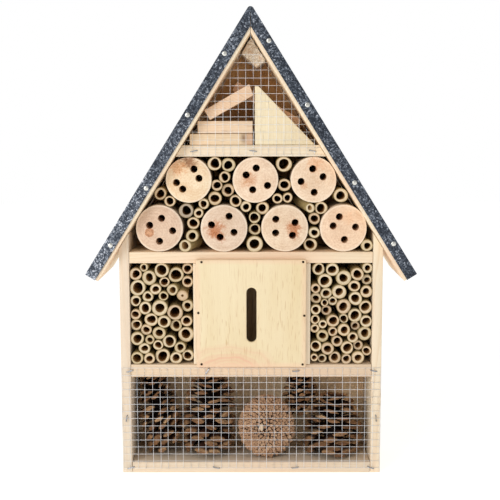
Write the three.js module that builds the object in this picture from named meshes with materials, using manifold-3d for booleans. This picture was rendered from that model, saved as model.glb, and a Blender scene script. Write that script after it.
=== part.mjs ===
// A gable-roofed insect hotel: a wooden case with a galvanised roof cover, a butterfly room,
// drilled logs, bundles of bamboo, pine cones behind wire mesh and offcuts in the attic.
// Millimetres, +Z up, the front faces -Y. The origin is at the middle of the footprint.
import * as THREE from "three";
import { mergeVertices } from "three/addons/utils/BufferGeometryUtils.js";
import Module from "manifold-3d";

// Case
const CLEARANCE = 0.3;
const WIDTH = 221;
const FRONT = -35;
const BACK = 35;
const WALL = 8.2;
const INNER_HALF = WIDTH / 2 - WALL;
const BACK_PANEL_FRONT = 22.5;
const BACK_PANEL_THICK = 5;
const FLOOR_TOP = 9.4;
const LOWER_SHELF = [84.4, 95.1];
const MIDDLE_SHELF = [182, 191.3];
const ATTIC_FLOOR = [270.9, 280.1];
const DIVIDER_THICK = 8;
const LEFT_DIVIDER_FACE = -48.6;
const RIGHT_DIVIDER_FACE = 49.9;

// Roof
const ROOF_APEX = 393.4;
const ROOF_HALF_WIDTH = 137.5;
const ROOF_TIP = 174.1;
const ROOF_DEPTH = 90;
const ROOF_BOARD = 10.9;
const SHEET = 0.8;
const ROOF_THICK = SHEET + CLEARANCE + ROOF_BOARD;
const FLANGE = 9.5;
const BEND_RADIUS = 2.7;
const BEND_STEPS = 6;
const RIDGE_CUT = 4.2;
const FLANGE_SLIT = 0.5;
const SLOPE_LENGTH = Math.hypot(ROOF_HALF_WIDTH, ROOF_APEX - ROOF_TIP);
const SLOPE_ACROSS = ROOF_HALF_WIDTH / SLOPE_LENGTH;
const SLOPE_DOWN = (ROOF_APEX - ROOF_TIP) / SLOPE_LENGTH;

// Butterfly room front
const PANEL_X = [-45.9, 46.1];
const PANEL_Z = [94.2, 185.4];
const PANEL_THICK = 4.7;
const SLOT_CENTRE = [0.4, 138.7];
const SLOT_WIDTH = 8.4;
const SLOT_HEIGHT = 46.4;
const SLOT_ARC_STEPS = 12;

// Wire mesh, drawn with every second wire of the real grid
const WIRE = 0.7;
const PITCH = 6.25;
const WIDE_PITCH = 6.45;
const WIRE_STEP = 2;
const CONE_MESH_COLUMNS = 34;
const CONE_MESH_ROWS = 14;
const CONE_MESH_BOTTOM = 4.4;
const ATTIC_MESH_ROWS = 13;
const ATTIC_MESH_BOTTOM = 272.2;
const ATTIC_MESH_CENTRE = 2.3;
const ATTIC_MESH_INSET = 1;

// Drilled logs
const LOG_SIDES = 20;
const LOG_HOLE_SIDES = 12;
const LOG_HOLE_RADIUS = 3;
const LOG_HOLE_DEPTH = 45;
const LOW_LOG_RADIUS = 19.4;
const LOW_LOG_Z = 211.2;
const HIGH_LOG_RADIUS = 18.8;
const HIGH_LOG_Z = 251.5;
// Each log: name, middle, row, and its four drilled holes as [across, up] from the middle.
const LOGS = [
  ["log_low_1", -76.4, "low", [[1.9, 8.5], [-8.1, 2.7], [11, -2], [0, -10.8]]],
  ["log_low_2", -22.5, "low", [[4.3, 10], [-10.4, 2.9], [8.4, -3.4], [-3.2, -7.4]]],
  ["log_low_3", 28.3, "low", [[-7.5, 7.5], [8.6, 4.7], [-7.6, -4], [6.5, -6]]],
  ["log_low_4", 77.2, "low", [[-3.4, 9.5], [-8.5, 1.9], [10.2, 0.9], [1, -9.6]]],
  ["log_high_1", -51.5, "high", [[4.4, 9], [8.5, 1.4], [-10.2, -2.1], [-5.1, -7.5]]],
  ["log_high_2", 3.8, "high", [[0.7, 9.8], [-7.7, 4.1], [10.1, -4.7], [-2.2, -8.2]]],
  ["log_high_3", 52.1, "high", [[-0.7, 9.1], [7.9, 2.5], [-10.3, -1.4], [0.6, -10.4]]],
];

// Bamboo
const TUBE_SIDES = 8;
const BORE_SIDES = 6;
const BORE_SHARE = 0.58;
const BORE_DEPTH = 42;
const TUBE_CLEARANCE = 0.35;
const GLUE_SHEET = 1.6;
const GLUE_HALF_WIDTH = 1.2;
const SETTLE_ROUNDS = 200;
const CONTENT_FRONT = FRONT + 0.6;
const CONTENT_BACK = BACK_PANEL_FRONT - 0.4;

// Bamboo tubes of the side bays as [middle across, middle up, outer radius]
const LEFT_TUBES = [
  [-88, 178, 3.5], [-98, 172, 5], [-86.5, 169, 6], [-77, 176, 6], [-64.5, 172, 6.3],
  [-53.5, 176, 4.5], [-54, 167, 4.6], [-74.5, 166, 4.2], [-96, 160, 6.5], [-85, 159, 4.5],
  [-69, 158.5, 4.6], [-77.5, 153.5, 3.9], [-57.5, 153, 4.6], [-89, 151, 4.4], [-98, 148, 4.5],
  [-90, 141.5, 5.3], [-76.5, 142.5, 6.6], [-64.5, 138.5, 6.5], [-54, 142.5, 4.8], [-97.5, 137.5, 4.4],
  [-84, 133, 5.4], [-73.5, 130, 5.3], [-54.5, 132.5, 4.5], [-98, 127.5, 4.6], [-64.5, 126, 4.9],
  [-90, 124.5, 4.5], [-79, 120.5, 5.4], [-55, 119.5, 6.4], [-97, 116, 5.5], [-87.5, 116.5, 3.9],
  [-81.5, 111, 4.1], [-71, 112.5, 5.5], [-90.5, 108, 4.7], [-61, 109.5, 4.6], [-97, 100.5, 5.2],
  [-86.5, 99.8, 4.6], [-75.5, 101.5, 6.3], [-63, 100.3, 5], [-53.5, 102, 4.8],
];
const RIGHT_TUBES = [
  [57, 176.5, 5.1], [68, 176.3, 5.3], [78.5, 171, 6.2], [90, 172, 5.3], [98, 175.5, 4.2],
  [98, 167, 4.2], [63, 167, 5.8], [86.5, 162.5, 4.8], [54.2, 163, 4], [74.5, 159.5, 5.8],
  [97.2, 157.5, 4.9], [62.5, 157, 4.7], [87.5, 152, 5.6], [55, 152.5, 4.6], [68.5, 151, 3.8],
  [62, 147, 2.9], [77, 145, 6.1], [96.7, 144.5, 5.4], [54.4, 142.5, 4.3], [64, 141.5, 4.2],
  [88, 137.5, 5.5], [54, 134, 3.8], [78.5, 135.3, 3.9], [97, 132, 4.9], [69, 132, 5.2],
  [60.7, 130, 3.5], [88.5, 128, 3.9], [53.9, 126.5, 3.7], [79, 125.5, 5.2], [69.5, 123, 3.9],
  [96.2, 120.5, 5.8], [60.5, 119.5, 5.2], [86.8, 119, 4.4], [72.5, 114.5, 4.6], [54.8, 111, 4.6],
  [90.5, 110.8, 4.1], [63.5, 108, 5.2], [81, 109.5, 5.3], [98, 106, 3.9], [53.6, 101, 3.2],
  [60.2, 99.3, 3.7], [70, 100.4, 5], [80.5, 99.7, 4.2], [91, 100.9, 5.3],
];

// Bamboo in each gap between the logs; every tube is glued to the one before it
const GAP_TUBES = {
  bamboo_gap_left_slope: [[-76.5, 240.5, 5.2], [-67.5, 236, 4.6]],
  bamboo_gap_left: [
    [-40.5, 233.5, 4.3], [-43.5, 224, 3.9], [-53.8, 226, 5.6], [-48, 215.5, 4.6], [-49, 205, 4.8],
    [-55, 196.5, 4.6],
  ],
  bamboo_gap_upper_left: [
    [-30, 265, 5.4], [-18.5, 264, 5.5], [-21.7, 254, 4.5], [-28.7, 247, 4.5], [-30, 236, 5.4],
    [-19.7, 243, 5.2], [-12.7, 234, 4.7],
  ],
  bamboo_gap_middle: [
    [-4, 230, 4.4], [10, 228, 5.2], [3.3, 220.5, 4.6], [3.2, 210, 4.5], [3.2, 197.9, 6],
  ],
  bamboo_gap_upper_right: [[27.5, 264.4, 5.8], [28, 247.2, 4.9], [22.3, 236, 4.1], [30.5, 236.6, 4]],
  bamboo_gap_right: [
    [49.4, 228, 3.5], [58.6, 228, 5], [53, 219, 4.4], [52.9, 207.5, 4.2], [50, 196.8, 5],
  ],
  bamboo_gap_right_slope: [[75, 238.5, 6]],
  bamboo_gap_corner: [[97, 196.9, 5]],
};

// Pine cones, as plain faceted solids: name, middle, half sizes across, deep and up
const CONE_RINGS = 6;
const CONE_SIDES = 10;
const CONES = [
  ["pine_cone_left_outer", [-79.5, -4, 46.4], [19, 22, 35.6]],
  ["pine_cone_left_inner", [-38, -7, 46.6], [21, 24, 36.6]],
  ["pine_cone_middle", [12.2, -9.5, 34.4], [23.2, 24, 24.7]],
  ["pine_cone_right_upper", [44.5, 6, 61], [14.5, 15, 20]],
  ["pine_cone_right_front", [71.5, -11, 36.6], [25, 21, 26.7]],
];

// Attic offcuts: name, [x, z] outline, front and back
const ATTIC_REST = ATTIC_FLOOR[1] + CLEARANCE;
const OFFCUTS = [
  ["offcut_bottom", [[-50.4, ATTIC_REST], [1.6, ATTIC_REST], [1.6, 289.6], [-50.4, 289.6]], -34, 14],
  ["offcut_second", [[-43.8, 290], [1.6, 290], [1.6, 300], [-43.8, 300]], -34, 12],
  ["offcut_leaning", [[-33.6, 300.9], [2.2, 321], [-1.2, 330], [-38.2, 308.8]], -34, -16],
  ["offcut_triangle", [[3.4, ATTIC_REST], [53, ATTIC_REST], [6.4, 328.3], [3.4, 328.3]], -34, -17],
  ["offcut_back", [[-15.6, 325.6], [40.2, 295.2], [42.2, 301.4], [-11.2, 333]], -14, 8],
  ["offcut_ridge", [[-6.2, 355.5], [4.6, 345.6], [11.4, 350.8], [1.5, 366.8], [-1.4, 364.8]], -24, 14],
];

// Hanger plate on the back, below the ridge, with flush screws
const HANGER_WIDTH = 40;
const HANGER_HEIGHT = 18;
const HANGER_THICK = 2;
const HANGER_Z = 316;
const HANGER_EYE_RADIUS = 4;
const HANGER_SCREW_X = 14;
const HANGER_SINK = 1.4;

// Fasteners: head radius, head height, shank radius, shank length
const BRAD = { head: 1, height: 0.4, shank: 0.55, length: 14 };
const ROOF_NAIL = { head: 2, height: 0.7, shank: 0.8, length: 16 };
const SCREW = { head: 2.4, height: 1, shank: 1.1, length: 4.2 };
const NAIL_SIDES = 8;
const HEAD_TAPER = 0.8;

// Panel brads: name, x and z
const BRADS = [
  ["brad_left_top", -41.2, 183.6],
  ["brad_left_middle", -44.2, 140.6],
  ["brad_left_bottom", -41.8, 96.6],
  ["brad_right_top", 43.4, 183.6],
  ["brad_right_middle", 44.6, 138.2],
  ["brad_right_bottom", 43.4, 96.4],
];

// Roof nails of each front flange: distance from the apex along the slope, inset below the skin
const ROOF_NAILS = {
  left: [[44.8, 3.4], [102.2, 3.6], [171, 6], [227, 5.4]],
  right: [[32.8, 3.2], [92.8, 3.8], [167, 4.4], [227, 3.4]],
};

// Modelling: how far a cutter passes a face, and the distance at which corners merge
const OVERRUN = 1;
const MERGE_DISTANCE = 1e-3;
const HALF = 0.5;

const wasm = await Module();
wasm.setup();

function toSolid(geometry) {
  const bare = geometry.clone();
  bare.deleteAttribute("normal");
  bare.deleteAttribute("uv");
  const merged = mergeVertices(bare, MERGE_DISTANCE);
  return new wasm.Manifold(
    new wasm.Mesh({
      numProp: 3,
      vertProperties: merged.attributes.position.array,
      triVerts: new Uint32Array(merged.index.array),
    }),
  );
}

function toGeometry(solid) {
  const mesh = solid.getMesh();
  const positions = new THREE.BufferAttribute(mesh.vertProperties, 3);
  const geometry = new THREE.BufferGeometry().setAttribute("position", positions);
  geometry.setIndex(new THREE.BufferAttribute(mesh.triVerts, 1));
  const faceted = geometry.toNonIndexed();
  faceted.computeVertexNormals();
  return faceted;
}

function joined(geometries) {
  return toGeometry(geometries.map(toSolid).reduce((whole, piece) => whole.add(piece)));
}

function cutAway(geometry, cutters) {
  return toGeometry(cutters.map(toSolid).reduce((rest, cutter) => rest.subtract(cutter), toSolid(geometry)));
}

// A plate with the given [x, z] outline, between two depths.
function plate(outline, front, back, holes = []) {
  const shape = new THREE.Shape(outline.map(([x, z]) => new THREE.Vector2(x, z)));
  shape.holes = holes;
  const geometry = new THREE.ExtrudeGeometry(shape, {
    depth: back - front,
    bevelEnabled: false,
    curveSegments: SLOT_ARC_STEPS,
  });
  geometry.rotateX(Math.PI / 2);
  geometry.translate(0, back, 0);
  return geometry;
}

function block([x0, x1], [y0, y1], [z0, z1]) {
  const geometry = new THREE.BoxGeometry(x1 - x0, y1 - y0, z1 - z0);
  geometry.translate((x0 + x1) / 2, (y0 + y1) / 2, (z0 + z1) / 2);
  return geometry;
}

// A round bar along Y.
function bar(x, z, radius, front, back, sides) {
  const geometry = new THREE.CylinderGeometry(radius, radius, back - front, sides);
  geometry.translate(0, (front + back) / 2, 0);
  geometry.rotateY(Math.PI / sides);
  geometry.translate(x, 0, z);
  return geometry;
}

function mirrored(outline) {
  return outline.map(([x, z]) => [-x, z]).reverse();
}

// The point on the right slope at a distance from the apex and an inset below the outer skin.
function onSlope(along, inset) {
  const x = along * SLOPE_ACROSS - inset * SLOPE_DOWN;
  const z = ROOF_APEX - along * SLOPE_DOWN - inset * SLOPE_ACROSS;
  return [x, z];
}

// Half the width between the roof's undersides at a height, less a clearance at right angles.
function soffit(z, clearance = CLEARANCE) {
  return ((ROOF_APEX - z) * SLOPE_ACROSS - (ROOF_THICK + clearance)) / SLOPE_DOWN;
}

// The height at which the roof's underside crosses a distance from the middle.
function soffitHeight(x, clearance = CLEARANCE) {
  return ROOF_APEX - (x * SLOPE_DOWN + ROOF_THICK + clearance) / SLOPE_ACROSS;
}

const finishes = {
  pine: [0xf1e2cd, 0.75, 0],
  panel: [0xf2dfb4, 0.7, 0],
  plywood: [0xa98255, 0.85, 0],
  log: [0xd9a877, 0.85, 0],
  bamboo: [0xd6bf8f, 0.6, 0],
  cone: [0x6b4a34, 0.95, 0],
  galvanised: [0x474d59, 0.45, 0.85],
  wire: [0xc8ccd0, 0.35, 0.9],
  steel: [0xd9dce0, 0.25, 1],
  darkSteel: [0x3a3026, 0.6, 0.6],
};

const hotel = new THREE.Group();

function addPiece(name, geometry, finish) {
  const [color, roughness, metalness] = finishes[finish];
  const material = new THREE.MeshStandardMaterial({ color, roughness, metalness });
  const mesh = new THREE.Mesh(geometry, material);
  mesh.name = name;
  hotel.add(mesh);
}

// A nail, brad or screw along Y whose head faces the front (facing -1) or the back (+1).
function fastener(kind, [x, z], seat, facing) {
  const profile = [
    [0, -kind.length],
    [kind.shank, -kind.length],
    [kind.shank, 0],
    [kind.head, 0],
    [kind.head * HEAD_TAPER, kind.height],
    [0, kind.height],
  ];
  const points = profile.map(([radius, y]) => new THREE.Vector2(radius, y));
  const geometry = new THREE.LatheGeometry(points, NAIL_SIDES);
  if (facing < 0) geometry.rotateX(Math.PI);
  geometry.translate(x, seat + facing * CLEARANCE, z);
  return geometry;
}

function fastenerHole(kind, [x, z], seat, facing) {
  const deep = seat - facing * (kind.length + OVERRUN);
  const open = seat + facing * OVERRUN;
  return bar(x, z, kind.shank + CLEARANCE, Math.min(deep, open), Math.max(deep, open), BORE_SIDES);
}

const PANEL_FRONT = FRONT - CLEARANCE - PANEL_THICK;
const bradHoles = BRADS.map(([, x, z]) => fastenerHole(BRAD, [x, z], PANEL_FRONT, -1));

const ROOF_FACE = ROOF_DEPTH / 2;
const ROOF_REAR = ROOF_FACE + CLEARANCE + ROOF_NAIL.height;

function roofNailPlaces(side, mirror) {
  return ROOF_NAILS[side].map(([along, inset], index) => {
    const [x, z] = onSlope(along, inset);
    return { name: `roof_nail_${side}_${index + 1}`, place: [mirror * x, z] };
  });
}

const allRoofNails = [...roofNailPlaces("left", -1), ...roofNailPlaces("right", 1)];
const roofNailHoles = allRoofNails.map(({ place }) => fastenerHole(ROOF_NAIL, place, -ROOF_FACE, -1));

function addCase() {
  const outer = WIDTH / 2;
  const wall = [
    [INNER_HALF, 0],
    [outer, 0],
    [outer, soffitHeight(outer)],
    [INNER_HALF, soffitHeight(INNER_HALF)],
  ];
  addPiece("side_wall_right", plate(wall, FRONT, BACK), "pine");
  addPiece("side_wall_left", plate(mirrored(wall), FRONT, BACK), "pine");
  const fit = INNER_HALF - CLEARANCE;
  const across = [-fit, fit];
  const deep = [FRONT, BACK_PANEL_FRONT - CLEARANCE];
  addPiece("floor_board", block(across, deep, [0, FLOOR_TOP]), "pine");
  addPiece("lower_shelf", block(across, deep, LOWER_SHELF), "pine");
  addPiece("middle_shelf", cutAway(block(across, deep, MIDDLE_SHELF), bradHoles), "pine");
  const [bottom, top] = ATTIC_FLOOR;
  const attic = [
    [-soffit(bottom), bottom],
    [soffit(bottom), bottom],
    [soffit(top), top],
    [-soffit(top), top],
  ];
  addPiece("attic_floor", plate(attic, ...deep), "pine");
  const between = [LOWER_SHELF[1] + CLEARANCE, MIDDLE_SHELF[0] - CLEARANCE];
  const left = [LEFT_DIVIDER_FACE, LEFT_DIVIDER_FACE + DIVIDER_THICK];
  const right = [RIGHT_DIVIDER_FACE - DIVIDER_THICK, RIGHT_DIVIDER_FACE];
  addPiece("divider_left", cutAway(block(left, deep, between), bradHoles), "pine");
  addPiece("divider_right", cutAway(block(right, deep, between), bradHoles), "pine");
}

function addBackPanel() {
  const half = INNER_HALF - CLEARANCE;
  const gable = [
    [-half, 0],
    [half, 0],
    [half, soffitHeight(half)],
    [0, soffitHeight(0)],
    [-half, soffitHeight(half)],
  ];
  const back = BACK_PANEL_FRONT + BACK_PANEL_THICK;
  const panel = plate(gable, BACK_PANEL_FRONT, back);
  addPiece("back_panel", cutAway(panel, hangerScrewPlaces().map(hangerHole)), "plywood");
}

function addButterflyPanel() {
  const radius = SLOT_WIDTH / 2;
  const reach = SLOT_HEIGHT / 2 - radius;
  const [x, z] = SLOT_CENTRE;
  const slot = new THREE.Path();
  slot.absarc(x, z + reach, radius, 0, Math.PI);
  slot.absarc(x, z - reach, radius, Math.PI, 2 * Math.PI);
  slot.closePath();
  const [x0, x1] = PANEL_X;
  const [z0, z1] = PANEL_Z;
  const outline = [[x0, z0], [x1, z0], [x1, z1], [x0, z1]];
  const panel = plate(outline, PANEL_FRONT, FRONT - CLEARANCE, [slot]);
  addPiece("butterfly_panel", cutAway(panel, bradHoles), "panel");
  for (const [name, brad, height] of BRADS) {
    addPiece(name, fastener(BRAD, [brad, height], PANEL_FRONT, -1), "darkSteel");
  }
}

// The outline of the bent sheet between its outer skin and an inset, with a round ridge.
function sheetOutline(inset) {
  const centre = ROOF_APEX - BEND_RADIUS / SLOPE_ACROSS;
  const normal = Math.atan2(SLOPE_ACROSS, SLOPE_DOWN);
  const ridge = (radius) =>
    Array.from({ length: BEND_STEPS + 1 }, (_, step) => {
      const angle = normal + ((Math.PI - 2 * normal) * step) / BEND_STEPS;
      return [radius * Math.cos(angle), centre + radius * Math.sin(angle)];
    });
  const sharp = [[0, ROOF_APEX - inset / SLOPE_ACROSS]];
  const inner = inset < BEND_RADIUS ? ridge(BEND_RADIUS - inset) : sharp;
  const [tipX, tipZ] = onSlope(SLOPE_LENGTH, 0);
  const [innerX, innerZ] = onSlope(SLOPE_LENGTH, inset);
  return [
    [tipX, tipZ],
    ...ridge(BEND_RADIUS),
    [-tipX, tipZ],
    [-innerX, innerZ],
    ...inner.reverse(),
    [innerX, innerZ],
  ];
}

function addRoof() {
  const top = SHEET + CLEARANCE;
  const depths = [top - ROOF_FACE, ROOF_REAR - top];
  const mitre = CLEARANCE / 2;
  const boardEnd = SLOPE_LENGTH - CLEARANCE;
  const shoulder = (RIDGE_CUT - top * SLOPE_ACROSS) / SLOPE_DOWN;
  const board = [
    [mitre, ROOF_APEX - RIDGE_CUT],
    [mitre, ROOF_APEX - (ROOF_THICK + mitre * SLOPE_DOWN) / SLOPE_ACROSS],
    onSlope(boardEnd, ROOF_THICK),
    onSlope(boardEnd, top),
    onSlope(shoulder, top),
  ];
  const right = cutAway(plate(board, ...depths), roofNailHoles);
  const left = cutAway(plate(mirrored(board), ...depths), roofNailHoles);
  addPiece("roof_board_right", right, "pine");
  addPiece("roof_board_left", left, "pine");
  const skin = plate(sheetOutline(SHEET), SHEET / 2 - ROOF_FACE, ROOF_REAR - SHEET / 2);
  const frontFlange = plate(sheetOutline(FLANGE), -ROOF_FACE, SHEET - ROOF_FACE);
  const backFlange = plate(sheetOutline(FLANGE), ROOF_REAR - SHEET, ROOF_REAR);
  const slitTop = ROOF_APEX - (BEND_RADIUS + SHEET) / SLOPE_ACROSS;
  const slit = block(
    [-FLANGE_SLIT / 2, FLANGE_SLIT / 2],
    [-ROOF_DEPTH, ROOF_DEPTH],
    [slitTop - ROOF_DEPTH, slitTop],
  );
  const cover = joined([skin, frontFlange, backFlange]);
  addPiece("roof_cover", cutAway(cover, [slit, ...roofNailHoles]), "galvanised");
  for (const { name, place } of allRoofNails) {
    addPiece(name, fastener(ROOF_NAIL, place, -ROOF_FACE, -1), "steel");
  }
}

// A straight wire; the upright ones lie half a wire in front of the level ones.
function wireSpan(x, z) {
  const half = WIRE / 2;
  const upright = x[0] === x[1];
  const back = FRONT - CLEARANCE - (upright ? half : 0);
  return block([x[0] - half, x[1] + half], [back - WIRE, back], [z[0] - half, z[1] + half]);
}

function addConeBayMesh() {
  const half = (CONE_MESH_COLUMNS * WIDE_PITCH) / 2;
  const bottom = CONE_MESH_BOTTOM;
  const top = bottom + CONE_MESH_ROWS * PITCH;
  const wires = [];
  for (let column = 0; column <= CONE_MESH_COLUMNS; column += WIRE_STEP) {
    const x = column * WIDE_PITCH - half;
    wires.push(wireSpan([x, x], [bottom, top]));
  }
  for (let row = 0; row <= CONE_MESH_ROWS; row += WIRE_STEP) {
    const z = bottom + row * PITCH;
    wires.push(wireSpan([-half, half], [z, z]));
  }
  addPiece("cone_bay_mesh", joined(wires), "wire");
}

function addAtticMesh() {
  const bottom = ATTIC_MESH_BOTTOM;
  const top = bottom + ATTIC_MESH_ROWS * PITCH;
  const wires = [];
  for (let row = 0; row <= ATTIC_MESH_ROWS; row += WIRE_STEP) {
    const z = bottom + row * PITCH;
    const reach = soffit(z, ATTIC_MESH_INSET);
    wires.push(wireSpan([-reach, reach], [z, z]));
  }
  const columns = Math.floor(soffit(bottom, ATTIC_MESH_INSET) / PITCH);
  for (let column = -columns; column <= columns; column += WIRE_STEP) {
    const x = ATTIC_MESH_CENTRE + column * PITCH;
    const end = Math.min(top, soffitHeight(Math.abs(x), ATTIC_MESH_INSET));
    if (end > bottom) wires.push(wireSpan([x, x], [bottom, end]));
  }
  addPiece("attic_mesh", joined(wires), "wire");
}

function logCircle([, x, row]) {
  if (row === "low") return { x, z: LOW_LOG_Z, radius: LOW_LOG_RADIUS };
  return { x, z: HIGH_LOG_Z, radius: HIGH_LOG_RADIUS };
}

function addLogs() {
  for (const log of LOGS) {
    const [name, , , holes] = log;
    const { x, z, radius } = logCircle(log);
    const round = bar(x, z, radius, CONTENT_FRONT, CONTENT_BACK, LOG_SIDES);
    const end = CONTENT_FRONT + LOG_HOLE_DEPTH;
    const drills = holes.map(([across, up]) =>
      bar(x + across, z + up, LOG_HOLE_RADIUS, CONTENT_FRONT - OVERRUN, end, LOG_HOLE_SIDES),
    );
    addPiece(name, cutAway(round, drills), "log");
  }
}

// Moves the tubes apart and off the boards and logs, then trims any that still crowd a neighbour.
function settled(tubes, walls, fixed) {
  const circles = tubes.map(([x, z, radius]) => ({ x, z, radius }));
  for (let round = 0; round < SETTLE_ROUNDS; round += 1) {
    for (const tube of circles) {
      for (const other of [...circles, ...fixed]) pushApart(tube, other, fixed.includes(other));
      keepInside(tube, walls);
    }
  }
  for (const tube of circles) tube.radius = Math.min(tube.radius, roomFor(tube, circles, walls, fixed));
  return circles;
}

function pushApart(tube, other, held) {
  if (tube === other) return;
  const dx = tube.x - other.x;
  const dz = tube.z - other.z;
  const distance = Math.hypot(dx, dz);
  const overlap = tube.radius + other.radius + TUBE_CLEARANCE - distance;
  if (overlap <= 0) return;
  const share = held ? 1 : HALF;
  tube.x += (dx / distance) * overlap * share;
  tube.z += (dz / distance) * overlap * share;
  if (held) return;
  other.x -= (dx / distance) * overlap * share;
  other.z -= (dz / distance) * overlap * share;
}

// A wall is a point on it and its unit normal into the bay.
function keepInside(tube, walls) {
  for (const { point, normal } of walls) {
    const height = (tube.x - point[0]) * normal[0] + (tube.z - point[1]) * normal[1];
    const short = tube.radius + TUBE_CLEARANCE - height;
    if (short <= 0) continue;
    tube.x += normal[0] * short;
    tube.z += normal[1] * short;
  }
}

function roomFor(tube, circles, walls, fixed) {
  let room = Infinity;
  for (const other of [...circles, ...fixed]) {
    if (other === tube) continue;
    const distance = Math.hypot(tube.x - other.x, tube.z - other.z);
    room = Math.min(room, distance - other.radius - CLEARANCE);
  }
  for (const { point, normal } of walls) {
    const height = (tube.x - point[0]) * normal[0] + (tube.z - point[1]) * normal[1];
    room = Math.min(room, height - CLEARANCE);
  }
  return room;
}

function rectangleWalls(x0, x1, z0, z1) {
  return [
    { point: [x0, z0], normal: [1, 0] },
    { point: [x1, z0], normal: [-1, 0] },
    { point: [x0, z0], normal: [0, 1] },
    { point: [x0, z1], normal: [0, -1] },
  ];
}

// A bundle: tubes with open front bores, held together at the back by thin glue.
function addBundle(name, circles, glue) {
  const back = CONTENT_BACK - GLUE_SHEET / 2;
  const tubes = circles.map(({ x, z, radius }) => {
    const tube = bar(x, z, radius, CONTENT_FRONT, back, TUBE_SIDES);
    const bore = bar(x, z, radius * BORE_SHARE, FRONT - OVERRUN, CONTENT_FRONT + BORE_DEPTH, BORE_SIDES);
    return toSolid(tube).subtract(toSolid(bore));
  });
  const whole = [...glue.map(toSolid), ...tubes].reduce((all, piece) => all.add(piece));
  addPiece(name, toGeometry(whole), "bamboo");
}

// A strip of glue from the middle of one tube to the middle of the next.
function glueStrip(from, to) {
  const length = Math.hypot(to.x - from.x, to.z - from.z);
  const dx = ((to.x - from.x) / length) * GLUE_HALF_WIDTH;
  const dz = ((to.z - from.z) / length) * GLUE_HALF_WIDTH;
  const outline = [
    [from.x + dz, from.z - dx],
    [to.x + dz, to.z - dx],
    [to.x - dz, to.z + dx],
    [from.x - dz, from.z + dx],
  ];
  return plate(outline, CONTENT_BACK - GLUE_SHEET, CONTENT_BACK);
}

function inset([x0, x1], [z0, z1]) {
  const gap = CLEARANCE;
  return [[x0 + gap, z0 + gap], [x1 - gap, z0 + gap], [x1 - gap, z1 - gap], [x0 + gap, z1 - gap]];
}

function addSideBundles() {
  const bays = [
    ["bamboo_bundle_left", LEFT_TUBES, [-INNER_HALF, LEFT_DIVIDER_FACE]],
    ["bamboo_bundle_right", RIGHT_TUBES, [RIGHT_DIVIDER_FACE, INNER_HALF]],
  ];
  const height = [LOWER_SHELF[1], MIDDLE_SHELF[0]];
  for (const [name, tubes, across] of bays) {
    const circles = settled(tubes, rectangleWalls(...across, ...height), []);
    addBundle(name, circles, [plate(inset(across, height), CONTENT_BACK - GLUE_SHEET, CONTENT_BACK)]);
  }
}

// The upper bay's tubes lie between the logs, under the roof's slopes.
function addGapBundles() {
  const slope = onSlope(0, ROOF_THICK);
  const walls = [
    ...rectangleWalls(-INNER_HALF, INNER_HALF, MIDDLE_SHELF[1], ATTIC_FLOOR[0]),
    { point: slope, normal: [-SLOPE_DOWN, -SLOPE_ACROSS] },
    { point: [-slope[0], slope[1]], normal: [SLOPE_DOWN, -SLOPE_ACROSS] },
  ];
  const circles = settled(Object.values(GAP_TUBES).flat(), walls, LOGS.map(logCircle));
  for (const [name, tubes] of Object.entries(GAP_TUBES)) {
    const group = circles.splice(0, tubes.length);
    const glue = group.slice(1).map((circle, index) => glueStrip(group[index], circle));
    addBundle(name, group, glue);
  }
}

function addCones() {
  for (const [name, middle, half] of CONES) {
    const profile = Array.from({ length: CONE_RINGS + 1 }, (_, ring) => {
      const angle = (Math.PI * ring) / CONE_RINGS - Math.PI / 2;
      const radius = ring === 0 || ring === CONE_RINGS ? 0 : Math.cos(angle);
      return new THREE.Vector2(radius, Math.sin(angle));
    });
    const geometry = new THREE.LatheGeometry(profile, CONE_SIDES);
    geometry.scale(half[0], half[1], half[2]);
    geometry.translate(...middle);
    addPiece(name, geometry, "cone");
  }
}

function addOffcuts() {
  for (const [name, outline, front, back] of OFFCUTS) addPiece(name, plate(outline, front, back), "pine");
}

const HANGER_FRONT = BACK_PANEL_FRONT + BACK_PANEL_THICK + CLEARANCE;
const HANGER_BACK = HANGER_FRONT + HANGER_THICK;

function hangerScrewPlaces() {
  return [[-HANGER_SCREW_X, HANGER_Z], [HANGER_SCREW_X, HANGER_Z]];
}

function hangerHole(place) {
  return fastenerHole(SCREW, place, HANGER_BACK - HANGER_SINK, 1);
}

// The recess that takes a screw's head below the plate's face.
function hangerRecess([x, z]) {
  return bar(x, z, SCREW.head + CLEARANCE, HANGER_BACK - HANGER_SINK, HANGER_BACK + OVERRUN, NAIL_SIDES);
}

function addHanger() {
  const across = [-HANGER_WIDTH / 2, HANGER_WIDTH / 2];
  const up = [HANGER_Z - HANGER_HEIGHT / 2, HANGER_Z + HANGER_HEIGHT / 2];
  const body = block(across, [HANGER_FRONT, HANGER_BACK], up);
  const eye = bar(0, HANGER_Z, HANGER_EYE_RADIUS, HANGER_FRONT - OVERRUN, HANGER_BACK + OVERRUN, LOG_SIDES);
  const places = hangerScrewPlaces();
  const holes = [eye, ...places.map(hangerHole), ...places.map(hangerRecess)];
  addPiece("hanger_plate", cutAway(body, holes), "steel");
  places.forEach((place, index) => {
    const screw = fastener(SCREW, place, HANGER_BACK - HANGER_SINK, 1);
    addPiece(`hanger_screw_${index + 1}`, screw, "steel");
  });
}

addCase();
addBackPanel();
addButterflyPanel();
addRoof();
addConeBayMesh();
addAtticMesh();
addLogs();
addSideBundles();
addGapBundles();
addCones();
addOffcuts();
addHanger();

export default hotel;
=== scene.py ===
from math import acos, asin, atan2, cos, hypot, pi, radians, sin, sqrt
from random import Random

import bmesh
import bpy
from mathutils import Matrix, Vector, noise


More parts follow.
